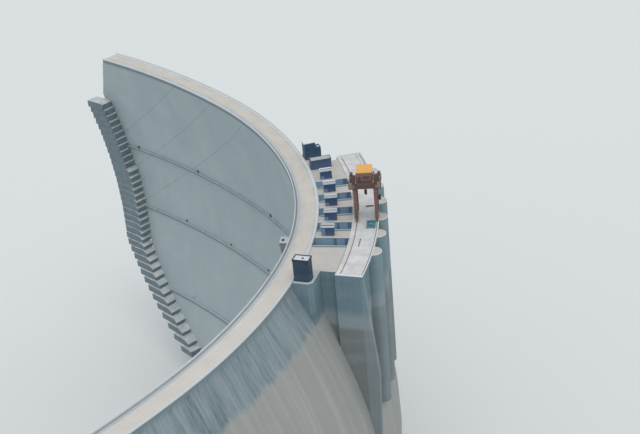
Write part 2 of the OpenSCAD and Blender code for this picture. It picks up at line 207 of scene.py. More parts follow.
# Uneven tone and grain of a cast or painted surface.
g, given, result = shader_group(
    "weathering",
    [("Place", VECTOR, (0, 0, 0)), ("Patch", FLOAT, 0.6), ("Grain", FLOAT, 0.02), ("Strength", FLOAT, 0.15)],
    [("Tone", FLOAT), ("Height", FLOAT)],
)
patch = g.node("ShaderNodeTexNoise", {
    "Vector": given["Place"], "Scale": g.math("DIVIDE", 1.0, given["Patch"]), "Detail": 6.0, "Roughness": 0.6,
}).outputs["Fac"]
grain = g.node("ShaderNodeTexNoise", {
    "Vector": given["Place"], "Scale": g.math("DIVIDE", 1.0, given["Grain"]), "Detail": 3.0,
}).outputs["Fac"]
broad = g.math("MULTIPLY", g.math("SUBTRACT", patch, 0.5), 2.0)
fine = g.math("MULTIPLY", g.math("SUBTRACT", grain, 0.5), 0.7)
g.put(result["Tone"], g.math("ADD", 1.0, g.math("MULTIPLY", g.math("ADD", broad, fine), given["Strength"])))
g.put(result["Height"], grain)
weathering = g.tree


def finish(name, colour, roughness, draw=None, bump=0.3, metallic=0.0, patch=0.6, grain=0.02,
           strength=0.12):
    """A material of uneven tone; draw(graph) puts its own colours in place of the plain one."""
    material = bpy.data.materials.new(name)
    material.use_nodes = True
    graph = Graph(material.node_tree)
    shader = material.node_tree.nodes["Principled BSDF"]
    values = {"Place": graph.object_place(), "Patch": patch, "Grain": grain, "Strength": strength}
    worn = graph.group(weathering, values)
    base = draw(graph) if draw else linear(colour)[:3]
    toned = graph.output("ShaderNodeVectorMath", {0: base, 1: worn["Tone"]}, operation="MULTIPLY")
    rough = graph.node("ShaderNodeBump", {"Height": worn["Height"], "Strength": bump, "Distance": 0.004})
    graph.put(shader.inputs["Base Color"], toned)
    graph.put(shader.inputs["Normal"], rough.outputs[0])
    shader.inputs["Roughness"].default_value = roughness
    shader.inputs["Metallic"].default_value = metallic
    shader.inputs["Specular IOR Level"].default_value = 0.3
    return material


def dress(material, *names):
    """Gives CAD nodes their finish."""
    for name in names:
        for slot in nodes[name].material_slots:
            slot.material = material


def arch_skin(graph):
    spot = graph.group(place_on_arch)
    upstream = graph.ramp(graph.facing(1), -0.05, 0.05, 1.0, 0.0)
    streak = graph.streaks(spot, (1.0, 0.0, 0.09), 0.17, 7.0, 0.8)
    broad = graph.streaks(spot, (1.0, 0.0, 0.1), 1.1, 3.0, 0.6)
    ragged = graph.streaks(spot, (1.0, 0.0, 0.15), 0.35, 6.0, 0.7)
    wave = graph.math("ADD", spot["Depth"], graph.ramp(ragged, 0.3, 0.7, -0.14, 0.14))
    above = graph.ramp(wave, STAIN_DEPTH - 0.08, STAIN_DEPTH + 0.08, 1.0, 0.0)
    dark = graph.math("MULTIPLY", graph.ramp(streak, 0.42, 0.62), graph.ramp(broad, 0.35, 0.6, 0.25, 1.0))
    wet = graph.mix(dark, "8f9ca1", "5f7178")
    drip = graph.streaks(spot, (1.0, 0.0, 0.03), 0.25, 5.0, 0.7)
    bare = graph.mix(graph.ramp(drip, 0.45, 0.7), "9b9d9b", "a9aaa7")
    skin = graph.mix(above, bare, wet)
    fall = graph.ramp(spot["Depth"], 0.5, 6.0)
    pale = graph.mix(fall, "a4b1b7", "a5b2b7")
    pale = graph.mix(graph.ramp(streak, 0.5, 0.75, 0.0, 0.3), pale, "93a3ad")
    cloud = graph.streaks(spot, (1.0, 0.0, 0.7), 1.6, 5.0, 0.6)
    pale = graph.mix(graph.ramp(cloud, 0.4, 0.7, 0.0, 0.35), pale, "b9c1bd")
    # Painted shade: the face is painted darker in a narrow band just under each gallery, where the walk
    # shades it.
    for depth in GALLERY_DEPTHS:
        below = graph.ramp(spot["Depth"], depth + 0.06, depth + 0.2, 0.6, 0.0)
        below = graph.math("MULTIPLY", below, graph.math("GREATER_THAN", spot["Depth"], depth - 0.02))
        pale = graph.mix(below, pale, "7c8a93")
    away = graph.math("ABSOLUTE", spot["Along"])
    slant = graph.math("SUBTRACT", spot["Depth"], graph.math("MULTIPLY", away, SEAM_RISE))
    seams = line_mask(graph, slant, SEAM_PITCH, 0.022, SEAM_START)
    seams = graph.math("MULTIPLY", seams, graph.ramp(slant, -10.4, -10.3))
    seams = graph.math("MULTIPLY", seams, graph.ramp(slant, -5.6, -5.5, 0.6, 0.0))
    seams = graph.math("MULTIPLY", seams, graph.ramp(spot["Depth"], 7.7, 7.8, 1.0, 0.0))
    pale = graph.mix(seams, pale, "66757e")
    joints = graph.math("MULTIPLY", line_mask(graph, spot["Along"], 1.0, 0.012, 0.5), 0.12)
    lifts = graph.math("MULTIPLY", line_mask(graph, spot["Depth"], 0.15, 0.006), 0.1)
    lines = graph.math("MAXIMUM", joints, lifts)
    return graph.mix(lines, graph.mix(upstream, pale, skin), "56646d")


arch = finish("arch_concrete", "", 0.85, draw=arch_skin, patch=1.6, grain=0.03, strength=0.08)
dress(arch, *[n for n in nodes if "_block_" in n])

# Crest road.
# A concrete carriageway on the arch and over the bays, cast in short lengths with cross
# joints. Guard rails stand on the kerb of the footway, which runs along its downstream side.


def on_arch(s, out, z):
    """Point at a length round the crest and a distance upstream of its edge."""
    side, s = (-1 if s < 0 else 1), abs(s)
    if s < CROWN_END:
        k, a = 0, s / RADII[0]
    elif s < INNER_END:
        k, a = 1, CROWN_TURN + (s - CROWN_END) / RADII[1]
    else:
        k, a = 2, INNER_TURN + (s - INNER_END) / RADII[2]
    p = CENTRES[k] + (RADII[k] + out) * heading(a)
    return Vector((side * p.x, p.y, z))


def along_arch(start, end, out, z, step=0.25):
    """Path round the crest at one distance from its edge and one height."""
    count = max(2, round(abs(end - start) / step) + 1)
    return [on_arch(start + (end - start) * i / (count - 1), out, z) for i in range(count)]


def placed(name, data):
    """A new object in the scene."""
    made = bpy.data.objects.new(name, data)
    bpy.context.scene.collection.objects.link(made)
    return made


def growth(name, inputs):
    """A tree of geometry nodes that makes pieces along paths, with its sizes as named inputs."""
    tree = bpy.data.node_groups.new(name, "GeometryNodeTree")
    tree.interface.new_socket("Paths", in_out="INPUT", socket_type="NodeSocketGeometry")
    for key, kind, value in inputs:
        tree.interface.new_socket(key, in_out="INPUT", socket_type=kind).default_value = value
    tree.interface.new_socket("Finish", in_out="INPUT", socket_type="NodeSocketMaterial")
    tree.interface.new_socket("Pieces", in_out="OUTPUT", socket_type="NodeSocketGeometry")
    graph = Graph(tree)
    given = graph.node("NodeGroupInput").outputs
    curve = graph.output("GeometryNodeMeshToCurve", {0: given["Paths"]})
    curve = graph.output("GeometryNodeSetCurveNormal", {0: curve}, mode="Z_UP")
    return graph, given, curve


def close(graph, given, *shapes):
    joined = graph.node("GeometryNodeJoinGeometry")
    for shape in shapes:
        graph.put(joined.inputs[0], shape)
    real = graph.output("GeometryNodeRealizeInstances", {0: joined.outputs[0]})
    painted = graph.output("GeometryNodeSetMaterial", {"Geometry": real, "Material": given["Finish"]})
    graph.node("NodeGroupOutput", {0: painted})
    return graph.tree


def grow(name, tree, paths, material, **sizes):
    """Makes the pieces of one tree along some paths, as a plain mesh."""
    corners, edges = [], []
    for path in paths:
        edges += [(len(corners) + i, len(corners) + i + 1) for i in range(len(path) - 1)]
        corners += [tuple(p) for p in path]
    mesh = bpy.data.meshes.new(name)
    mesh.from_pydata(corners, edges, [])
    piece = placed(name, mesh)
    modifier = piece.modifiers.new("growth", "NODES")
    modifier.node_group = tree
    sizes["Finish"] = material
    for item in tree.interface.items_tree:
        if item.in_out == "INPUT" and item.name in sizes:
            modifier[item.identifier] = sizes[item.name]
    made = piece.evaluated_get(bpy.context.evaluated_depsgraph_get())
    mesh = bpy.data.meshes.new_from_object(made)
    piece.modifiers.remove(modifier)
    piece.data = mesh
    return piece


# Posts with handrails.
g, given, path = growth("railing", [
    ("Height", FLOAT, 0.055), ("Spacing", FLOAT, 0.1), ("Post", FLOAT, 0.005), ("Rail", FLOAT, 0.0025),
    ("Rails", "NodeSocketInt", 2),
])
foot = g.output("GeometryNodeResampleCurve", {"Curve": path, "Length": given["Spacing"]}, mode="LENGTH")
size = g.output("ShaderNodeCombineXYZ", {0: given["Post"], 1: given["Post"], 2: given["Height"]})
post = g.output("GeometryNodeMeshCube", {"Size": size})
half = g.output("ShaderNodeCombineXYZ", {2: g.math("MULTIPLY", given["Height"], 0.5)})
post = g.output("GeometryNodeTransform", {0: post, "Translation": half})
tangent = g.output("GeometryNodeInputTangent")
turned = g.output("FunctionNodeAlignRotationToVector", {"Vector": tangent}, axis="X", pivot_axis="Z")
posts = g.output("GeometryNodeInstanceOnPoints", {"Points": foot, "Instance": post, "Rotation": turned})
ring = g.output("GeometryNodeCurvePrimitiveCircle", {"Resolution": 5, "Radius": given["Rail"]})
rail = g.output("GeometryNodeCurveToMesh", {"Curve": path, "Profile Curve": ring, "Fill Caps": True})
highest = g.output("ShaderNodeCombineXYZ", {2: given["Height"]})
drop = g.math("DIVIDE", g.math("MULTIPLY", given["Height"], -1.0), given["Rails"])
drop = g.output("ShaderNodeCombineXYZ", {2: drop})
levels = {"Count": given["Rails"], "Start Location": highest, "Offset": drop}
levels = g.output("GeometryNodeMeshLine", levels)
rails = g.output("GeometryNodeInstanceOnPoints", {"Points": levels, "Instance": rail})
railing = close(g, given, posts, rails)

# A bar of square section along each path.
g, given, path = growth("strip", [("Width", FLOAT, 0.02), ("Height", FLOAT, 0.01)])
sides = {"Width": given["Height"], "Height": given["Width"]}
section = g.output("GeometryNodeCurvePrimitiveQuadrilateral", sides)
bar = g.output("GeometryNodeCurveToMesh", {"Curve": path, "Profile Curve": section, "Fill Caps": True})
strip = close(g, given, bar)

# Blocks of one size at a spacing along each path, turned with it.
g, given, path = growth("row", [
    ("Spacing", FLOAT, 0.1), ("Size", VECTOR, (0.02, 0.02, 0.02)), ("Lift", FLOAT, 0.0),
])
spots = g.output("GeometryNodeResampleCurve", {"Curve": path, "Length": given["Spacing"]}, mode="LENGTH")
block = g.output("GeometryNodeMeshCube", {"Size": given["Size"]})
lift = g.output("ShaderNodeCombineXYZ", {2: given["Lift"]})
block = g.output("GeometryNodeTransform", {0: block, "Translation": lift})
tangent = g.output("GeometryNodeInputTangent")
turned = g.output("FunctionNodeAlignRotationToVector", {"Vector": tangent}, axis="X", pivot_axis="Z")
blocks = g.output("GeometryNodeInstanceOnPoints", {"Points": spots, "Instance": block, "Rotation": turned})
row = close(g, given, blocks)


def road_skin(graph):
    spot = graph.group(place_on_arch)
    joints = line_mask(graph, spot["Along"], 0.25, 0.008)
    wheel = line_mask(graph, spot["Out"], 0.19, 0.05, -0.08)
    drift = graph.streaks(spot, (0.4, 1.0, 1.0), 0.3)
    tone = graph.mix(graph.ramp(drift, 0.4, 0.7), "c3c2be", "cfcfcd")
    tone = graph.mix(graph.ramp(spot["Along"], -7.0, -2.0, 0.5, 0.0), tone, "dfddda")
    tone = graph.tint(wheel, 0.12, tone, "a9a7a2")
    tone = graph.tint(joints, 0.3, tone, "8f8c86")
    warm = graph.ramp(spot["Out"], -0.2, -0.12, 0.45, 0.0)
    warm = graph.math("MULTIPLY", graph.ramp(spot["Out"], -0.58, -0.48), warm)
    tone = graph.mix(warm, tone, "dbcfc2")
    tone = graph.mix(graph.ramp(spot["Out"], -0.64, -0.6, 0.5, 0.0), tone, "b4b7bd")
    tone = graph.mix(graph.math("GREATER_THAN", spot["Out"], -0.075), tone, "dfe3e4")
    # Painted shade: the slab's upright edge faces are painted dark blue-grey against its pale top.
    return graph.mix(graph.upward(), "7b8990", tone)


road = finish("road_concrete", "", 0.9, draw=road_skin, patch=0.8, grain=0.015, strength=0.08)
dress(road, "crest_road")
white_paint = finish("white_paint", "e2e6e8", 0.55, patch=0.2, grain=0.01, strength=0.08)
ROAD_EDGE = -0.8
FOOTWAY_EDGE = ROAD_EDGE + 0.11
kerb_path = along_arch(-CREST_END + 0.05, CREST_END - 0.05, FOOTWAY_EDGE + 0.006, TOP)
guard_size = {"Height": 0.05, "Spacing": 0.1, "Post": 0.005, "Rails": 2}
guard = grow("footway_guard_rail", railing, [kerb_path], white_paint, **guard_size)
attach(guard, "dam")

# Parapets.
# Low concrete walls on both edges of the road, under a pale coping. The footway beside the
# downstream one is painted darker.
PARAPET_T, PARAPET_H = 0.025, 0.06


def parapet_skin(graph):
    spot = graph.group(place_on_arch)
    # The footway between the downstream parapet and its kerb is painted darker grey.
    clear_of_wall = graph.math("GREATER_THAN", spot["Out"], ROAD_EDGE + PARAPET_T + 0.001)
    inner = graph.math("LESS_THAN", spot["Out"], FOOTWAY_EDGE - 0.015)
    low = graph.math("GREATER_THAN", spot["Depth"], -PARAPET_H * 0.8)
    walk = graph.math("MULTIPLY", graph.math("MULTIPLY", clear_of_wall, inner), low)
    joints = line_mask(graph, spot["Along"], 0.1, 0.004)
    wall = graph.tint(joints, 0.2, "d8dcdd", "8f9799")
    return graph.mix(walk, wall, "8b9499")


parapet = finish("parapet_concrete", "", 0.75, draw=parapet_skin, patch=0.5, strength=0.06)
dress(parapet, "upstream_parapet", "downstream_parapet")
coping_z = TOP + PARAPET_H + 0.002
copings = grow("parapet_copings", strip, [
    along_arch(-CREST_END + 0.002, CREST_END - 0.002, ROAD_EDGE + PARAPET_T / 2, coping_z),
    along_arch(-CREST_END + 0.002, CREST_END - 0.002, -PARAPET_T / 2, coping_z),
], white_paint, Width=PARAPET_T + 0.006, Height=0.006)
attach(copings, "dam")

# Spillway piers and end blocks.
# Cast with the arch, under pale floors with cross joints. Their upright walls are painted
# darker than the arch and the floors as painted shade, in bands that change with depth and with
# dark streaks; the nose fronts are painted lighter and the walls inside the bays lighter and
# bluer, as painted light. A kerb runs round the top of each nose.
NOSE_OUT, NOSE_R = 2.01119, 0.25881
PIER_SPOTS = [i - 2.5 for i in range(6)]


def pier_skin(graph):
    spot = graph.group(place_on_arch)
    flat = graph.upward()
    band = graph.streaks(spot, (0.2, 0.2, 1.0), 0.35, 4.0)
    streak = graph.streaks(spot, (1.0, 1.0, 0.04), 0.07, 4.0)
    # Painted shade: the upright walls are painted dark blue-grey, in bands by depth, with dark streaks.
    wall = graph.mix(graph.ramp(spot["Depth"], 1.2, 1.5), "6f858f", "8c999e")
    wall = graph.mix(graph.ramp(spot["Depth"], 1.8, 1.95), wall, "797e7f")
    wall = graph.mix(graph.ramp(band, 0.5, 0.7, 0.0, 0.35), wall, "8c9a9f")
    wall = graph.mix(graph.ramp(streak, 0.5, 0.7, 0.0, 0.3), wall, "4f626b")
    # Painted light: the nose fronts, beyond 1.9 out, are painted lighter.
    wall = graph.mix(graph.ramp(spot["Out"], 1.9, 1.95, 0.0, 0.35), wall, "93a3a9")
    # Painted light: the walls inside the bays, which lie in shade, are painted lighter and bluer, greener in
    # the first bay.
    in_bay = graph.math("LESS_THAN", spot["Depth"], 1.0)
    in_bay = graph.math("MULTIPLY", graph.math("LESS_THAN", spot["Out"], 1.125), in_bay)
    away = graph.math("ABSOLUTE", spot["Along"])
    in_bay = graph.math("MULTIPLY", in_bay, graph.math("LESS_THAN", away, 2.5))
    painted_bay_light = graph.mix(graph.ramp(spot["Along"], -2.2, -1.6), "9eb4c3", "9ab8d2")
    wall = graph.mix(in_bay, wall, painted_bay_light)
    joints = line_mask(graph, spot["Along"], 0.12, 0.014)
    worn = graph.mix(graph.ramp(band, 0.4, 0.65), "ccc6bf", "c3c0bc")
    floor_tone = graph.tint(joints, 0.3, worn, "98948c")
    flat = graph.math("MULTIPLY", flat, graph.math("LESS_THAN", spot["Depth"], 0.3))
    return graph.mix(flat, wall, floor_tone)


pier = finish("pier_concrete", "", 0.85, draw=pier_skin, patch=0.7, strength=0.1)
dress(pier, "spillway_piers", "left_end_block", "right_end_block", "lift_shafts")


def frame_at(s):
    """Place on the crest; its sizes run along the crest, out from its edge, and up."""
    here = on_arch(s, 0, 0)
    out = on_arch(s, 1, 0) - here
    along = Vector((-out.y, out.x, 0))
    return lambda x, y, z: here + along * x + out * y + Vector((0, 0, z))


nose_paths = []
for s in PIER_SPOTS:
    place = frame_at(s)
    arc = [math.pi * (i / 16) for i in range(17)]
    r = NOSE_R - 0.014
    nose_paths.append([place(r * math.cos(a), NOSE_OUT + r * math.sin(a), TOP + 0.008) for a in arc])
nose_kerbs = grow("nose_kerbs", strip, nose_paths, white_paint, Width=0.022, Height=0.016)
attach(nose_kerbs, "dam")

# Bay walkways and kerbs.
# A grating walk with a pale kerb follows the near side of each bay, a double kerb closes its
# upstream end, and steel guides for the gates are set into the piers' sides.
BAY_HALF = 0.2625
WALK_END, KERB_LINES = 1.11, (1.13, 1.185)
GUIDE_SPOTS = (0.62, 0.67, 0.98, 1.03)
CLEAR = 0.0005


class Shape:
    """Boxes and prisms gathered into one mesh."""

    def __init__(self):
        self.mesh = bmesh.new()

    def box(self, place, low, high):
        bits = [[high[i] if n >> i & 1 else low[i] for i in range(3)] for n in range(8)]
        corners = [self.mesh.verts.new(place(*b)) for b in bits]
        for ring in ((0, 1, 3, 2), (4, 6, 7, 5), (0, 4, 5, 1), (2, 3, 7, 6), (0, 2, 6, 4), (1, 5, 7, 3)):
            self.mesh.faces.new([corners[i] for i in ring])

    def tube(self, start, end, radius, sides=10):
        axis = (end - start).normalized()
        across = axis.orthogonal().normalized()
        other = axis.cross(across)
        rings = []
        for p in (start, end):
            turns = [2 * math.pi * i / sides for i in range(sides)]
            rim = [p + radius * (math.cos(a) * across + math.sin(a) * other) for a in turns]
            rings.append([self.mesh.verts.new(q) for q in rim])
        for i in range(sides):
            j = (i + 1) % sides
            self.mesh.faces.new((rings[0][i], rings[0][j], rings[1][j], rings[1][i]))
        self.mesh.faces.new(rings[0])
        self.mesh.faces.new(rings[1])

    def piece(self, name, material):
        bmesh.ops.recalc_face_normals(self.mesh, faces=self.mesh.faces)
        mesh = bpy.data.meshes.new(name)
        self.mesh.to_mesh(mesh)
        self.mesh.free()
        mesh.materials.append(material)
        return placed(name, mesh)


grating_steel = finish("grating_steel", "7f8f97", 0.6, metallic=0.2, patch=0.15, grain=0.006, strength=0.2)
dark_steel = finish("dark_steel", "3a454c", 0.55, metallic=0.3, patch=0.15, strength=0.2)
walks, edges, guides = Shape(), [], Shape()
for bay in range(-2, 3):
    place = frame_at(bay)
    near = -BAY_HALF
    walks.box(place, (near - 0.075, 0.03, TOP + CLEAR), (near - 0.003, WALK_END, TOP + 0.012))
    for x, z in ((near + 0.004, TOP + 0.008), (-near - 0.004, TOP + 0.006)):
        edges.append([place(x, 0.03, z), place(x, WALK_END + 0.008, z)])
    for y in KERB_LINES:
        edges.append([place(near, y, TOP + 0.008), place(-near, y, TOP + 0.008)])
    for side in (-1, 1):
        face, back = side * (BAY_HALF - 0.014), side * (BAY_HALF - 0.001)
        for out in GUIDE_SPOTS:
            guides.box(place, (face, out, TOP - 0.98), (back, out + 0.02, TOP - 0.005))
walk = walks.piece("bay_walks", grating_steel)
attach(walk, "dam")
kerbs = grow("bay_kerbs", strip, edges, white_paint, Width=0.02, Height=0.014)
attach(kerbs, "dam")
guide_steel = finish("guide_steel", "6f8494", 0.6, metallic=0.2, patch=0.15, strength=0.2)
guide = guides.piece("gate_guides", guide_steel)
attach(guide, "dam")

# Crane deck and its rails.
# A slab over the piers with white lines along its outer edge and its ends. The crane's
# rails lie in it on clips, and a hand rail guards the walk at the far end.
DECK_IN, DECK_OUT, DECK_HALF = 1.12, 1.99, 3.89


def deck_skin(graph):
    spot = graph.group(place_on_arch)
    away = graph.math("ABSOLUTE", spot["Along"])
    edge = graph.ramp(spot["Out"], DECK_OUT - 0.1, DECK_OUT - 0.09)
    end = graph.ramp(away, DECK_HALF - 0.08, DECK_HALF - 0.07)
    blotch = graph.ramp(graph.noise(spot["Unrolled"], 0.35, 5.0, 0.6), 0.4, 0.65)
    tone = graph.mix(blotch, "cdcbcb", "dfdfe1")
    joints = line_mask(graph, spot["Along"], 0.5, 0.006, 0.25)
    tone = graph.tint(joints, 0.3, tone, "96938f")
    tone = graph.mix(graph.math("MAXIMUM", edge, end), tone, "e3e7e9")
    # Painted shade: the slab's upright edge faces are painted dark blue-grey against its pale top.
    return graph.mix(graph.upward(), "6f858f", tone)


deck = finish("deck_concrete", "", 0.85, draw=deck_skin, patch=0.5, strength=0.08)
dress(deck, "crane_deck")
steel = finish("rail_steel", "857b74", 0.55, metallic=0.2, patch=0.2)
dress(steel, "crane_rails")
RAIL_MID, GAUGE = 1.605, 0.655
rail_lines = [along_arch(-3.75, 3.75, RAIL_MID + side * GAUGE / 2, TOP) for side in (-1, 1)]
clips = grow("rail_clips", row, rail_lines, steel, Spacing=0.05, Size=(0.01, 0.028, 0.005), Lift=0.0025)
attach(clips, "dam")
seam_lines = [along_arch(a, b, DECK_IN - 0.004, TOP + 0.002) for a, b in ((-3.87, -2.3), (2.3, 3.87))]
seams = grow("deck_seams", strip, seam_lines, steel, Width=0.018, Height=0.004)
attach(seams, "dam")
rim_lines = [along_arch(-3.88, 3.88, DECK_OUT - 0.012, TOP + 0.006)]
for s in (-3.878, 3.878):
    rim_lines.append([on_arch(s, DECK_IN + 0.01, TOP + 0.006), on_arch(s, DECK_OUT - 0.01, TOP + 0.006)])
rims = grow("deck_rims", strip, rim_lines, white_paint, Width=0.02, Height=0.012)
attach(rims, "dam")
walk_lines = [along_arch(2.5, 3.86, 1.83, TOP), along_arch(2.4, 3.86, 1.978, TOP)]
walk_lines.append([on_arch(3.866, 1.14, TOP), on_arch(3.866, 1.978, TOP)])
walk_size = {"Height": 0.055, "Spacing": 0.075, "Post": 0.008, "Rail": 0.008}
walk_rails = grow("deck_walk_rails", railing, walk_lines, white_paint, **walk_size)
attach(walk_rails, "dam")

# Things kept on the crane deck.
# A lifting beam for the bay gates in blue-green paint, a brown spreader bar and a dark
# sling pole, all resting on the slab between the rails.
teal_paint = finish("teal_paint", "4f8f9a", 0.5, patch=0.1, strength=0.2)
beam = Shape()
place = frame_at(-0.98)
for y in (1.60, 1.86):
    beam.box(place, (-0.24, y, TOP + CLEAR), (0.24, y + 0.035, TOP + 0.05))
for x in (-0.235, -0.12, 0.0, 0.12, 0.2):
    beam.box(place, (x, 1.636, TOP + 0.005), (x + 0.03, 1.859, TOP + 0.04))
for x in (-0.15, 0.12):
    beam.box(place, (x, 1.70, TOP + 0.041), (x + 0.05, 1.78, TOP + 0.09))
lifting_beam = beam.piece("lifting_beam", teal_paint)
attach(lifting_beam, "dam")
brown_paint = finish("brown_paint", "7d5a52", 0.6, patch=0.1, strength=0.2)
bar = Shape()
place = frame_at(0.17)
bar.box(place, (-0.014, 1.55, TOP + CLEAR), (0.014, 1.82, TOP + 0.006))
bar.box(place, (-0.004, 1.55, TOP + 0.007), (0.004, 1.82, TOP + 0.03))
bar.box(place, (-0.014, 1.55, TOP + 0.031), (0.014, 1.82, TOP + 0.037))
for y in (1.56, 1.8):
    bar.box(place, (-0.012, y, TOP + 0.006), (0.012, y + 0.008, TOP + 0.031))
spreader = bar.piece("spreader_bar", brown_paint)
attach(spreader, "dam")
pole = Shape()
place = frame_at(-2.04)
pole.tube(place(-0.23, 1.485, TOP + 0.016), place(0.23, 1.485, TOP + 0.016), 0.009)
for x in (-0.2, 0.0, 0.2):
    pole.box(place, (x - 0.01, 1.465, TOP + CLEAR), (x + 0.01, 1.505, TOP + 0.008))
sling_pole = pole.piece("sling_pole", dark_steel)
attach(sling_pole, "dam")

# Gate houses.
# One on each pier but the last, over the hoist of the gate beside it: a steel frame clad in
# dark blue sheet, with a door and two windows on each side and a white roof with a gutter. A
# dark strip of painted shade lies on each roof where its recess is shaded, dark red on the first.


def clad(name, wall, seam, roof, roof_z):
    """Ribbed sheet walls up to the roof slab, and a plain roof."""

    def draw(graph):
        x, y, z = graph.object_xyz()
        across = graph.math("ADD", x, y)
        ribs = line_mask(graph, across, 0.02, 0.005)
        sheet = graph.tint(ribs, 0.35, wall, seam)
        fade = graph.ramp(z, TOP, TOP + 0.3, 0.18, 0.0)
        sheet = graph.mix(fade, sheet, "8696a3")
        return graph.mix(graph.math("GREATER_THAN", z, roof_z), sheet, roof)

    return finish(name, "", 0.5, draw=draw, patch=0.3, grain=0.01, strength=0.12)


gate_clad = clad("gate_house_sheet", "3f587a", "2c4263", "dfe4e8", TOP + 0.3)
dress(gate_clad, "gate_houses")
glass = finish("window_glass", "4a6686", 0.2, patch=0.1, grain=0.05, strength=0.25, bump=0.0)
blue_trim = finish("blue_trim", "4a648a", 0.5, patch=0.1, strength=0.15)
pale_blue = finish("pale_blue_sheet", "7390ab", 0.5, patch=0.1, strength=0.15)
# Painted shade: grey and dark red sheets on the gate house roofs stand for the shade in their recesses.
grey_roof_shade = finish("grey_roof_shade_paint", "8b969a", 0.85, patch=0.12, strength=0.25)
red_roof_shade = finish("red_roof_shade_paint", "7c5a58", 0.85, patch=0.12, strength=0.25)
GATE_SPOTS = [i - 1.5 for i in range(5)]
GATE_ASIDE = -0.045
GATE_IN, GATE_OUT, GATE_W, GATE_H = 0.22, 0.62, 0.15, 0.35


def framed(shape, place, normal, low, high, proud=0.004, bar=0.006):
    """A frame of four bars round an opening on a wall; normal is 0 or 1, for x or y."""
    other = 1 - normal
    left, right, sill, head = low[other], high[other], low[2], high[2]
    for a, b in (
        ((left, sill), (right, sill + bar)), ((left, head - bar), (right, head)),
        ((left, sill + bar), (left + bar, head - bar)), ((right - bar, sill + bar), (right, head - bar)),
    ):
        start, end = [0, 0, 0], [0, 0, 0]
        start[normal], end[normal] = low[normal] - proud, high[normal] + proud
        start[other], end[other] = a[0], b[0]
        start[2], end[2] = a[1], b[1]
        shape.box(place, start, end)


def on_wall(x, thick=0.004):
    """Inner and outer face of a thin plate on the outside of a wall at x."""
    sign = 1 if x > 0 else -1
    return sorted((x + sign * CLEAR, x + sign * thick))


panes, frames, doors, roof_shade_strips, red_roof_shade_strips, curbs = (Shape() for _ in range(6))
for n, s in enumerate(GATE_SPOTS):
    place = frame_at(s + GATE_ASIDE)
    for x in (-GATE_W / 2, GATE_W / 2):
        near, far = on_wall(x)
        for y in (0.43, 0.52):
            panes.box(place, (near, y, TOP + 0.14), (far, y + 0.045, TOP + 0.21))
            framed(frames, place, 0, (near, y - 0.004, TOP + 0.136), (far, y + 0.049, TOP + 0.214), 0.001)
        door_top = TOP + (0.27 if n == 0 else 0.13)
        doors.box(place, (near, GATE_IN + 0.01, TOP + 0.004), (far, GATE_IN + 0.12, door_top))
    low, high = TOP + GATE_H + CLEAR, TOP + GATE_H + 0.014
    # Painted shade: a dark strip over the middle of each roof, dark red on the first house.
    roof = red_roof_shade_strips if n == 0 else roof_shade_strips
    roof.box(place, (-0.055, GATE_IN - 0.003, low), (0.022, GATE_OUT + 0.003, TOP + GATE_H + 0.005))
    curbs.box(place, (-0.087, GATE_IN - 0.012, low), (-0.075, GATE_OUT + 0.012, high))
    curbs.box(place, (0.0225, GATE_IN - 0.012, low), (0.087, GATE_OUT + 0.012, high))
    for y in (GATE_IN - 0.012, GATE_OUT + 0.004):
        curbs.box(place, (-0.0745, y, low), (0.022, y + 0.008, high))
for shape, name, paint, slot in (
    (panes, "gate_house_windows", glass, "house_cladding"),
    (frames, "gate_house_frames", blue_trim, "house_cladding"),
    (doors, "gate_house_doors", pale_blue, "house_cladding"),
    (roof_shade_strips, "gate_house_roof_shades", grey_roof_shade, "house_cladding"),
    (red_roof_shade_strips, "gate_house_red_roof_shade", red_roof_shade, "house_cladding"),
    (curbs, "gate_house_curbs", white_paint, "parapet_concrete"),
):
    made = shape.piece(name, paint)
    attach(made, "dam")

# Control house.
# A longer house of the same sheet at the far end of the spillway, with a band of windows
# and a flat beige roof laid in strips inside a dark gutter.
house_clad = clad("control_house_sheet", "46597a", "324563", "4b5c6a", TOP + 0.32)
dress(house_clad, "control_house")
HOUSE_AT, HOUSE_W, HOUSE_IN, HOUSE_OUT, HOUSE_H = 3.37, 0.3, 0.04, 0.77, 0.35
place = frame_at(HOUSE_AT)
roof_beige = finish("roof_strips", "b4bcb8", 0.8, patch=0.15, strength=0.1)
strips = Shape()
STRIPS = 12
pitch = (HOUSE_OUT - HOUSE_IN - 0.05) / STRIPS
for i in range(STRIPS):
    y = HOUSE_IN + 0.025 + i * pitch
    low = (-HOUSE_W / 2 + 0.02, y + 0.001, TOP + HOUSE_H + CLEAR)
    strips.box(place, low, (HOUSE_W / 2 - 0.035, y + pitch - 0.001, TOP + HOUSE_H + 0.006))
roof = strips.piece("control_house_roof", roof_beige)
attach(roof, "dam")
panes, frames = Shape(), Shape()
for x in (-HOUSE_W / 2, HOUSE_W / 2):
    near, far = on_wall(x)
    for i in range(6):
        y = 0.1 + i * 0.105
        panes.box(place, (near, y, TOP + 0.17), (far, y + 0.07, TOP + 0.25))
        framed(frames, place, 0, (near, y - 0.004, TOP + 0.166), (far, y + 0.074, TOP + 0.254), 0.001)
for shape, name, paint, slot in (
    (panes, "control_house_windows", glass, "house_cladding"),
    (frames, "control_house_frames", blue_trim, "house_cladding"),
):
    made = shape.piece(name, paint)
    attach(made, "dam")

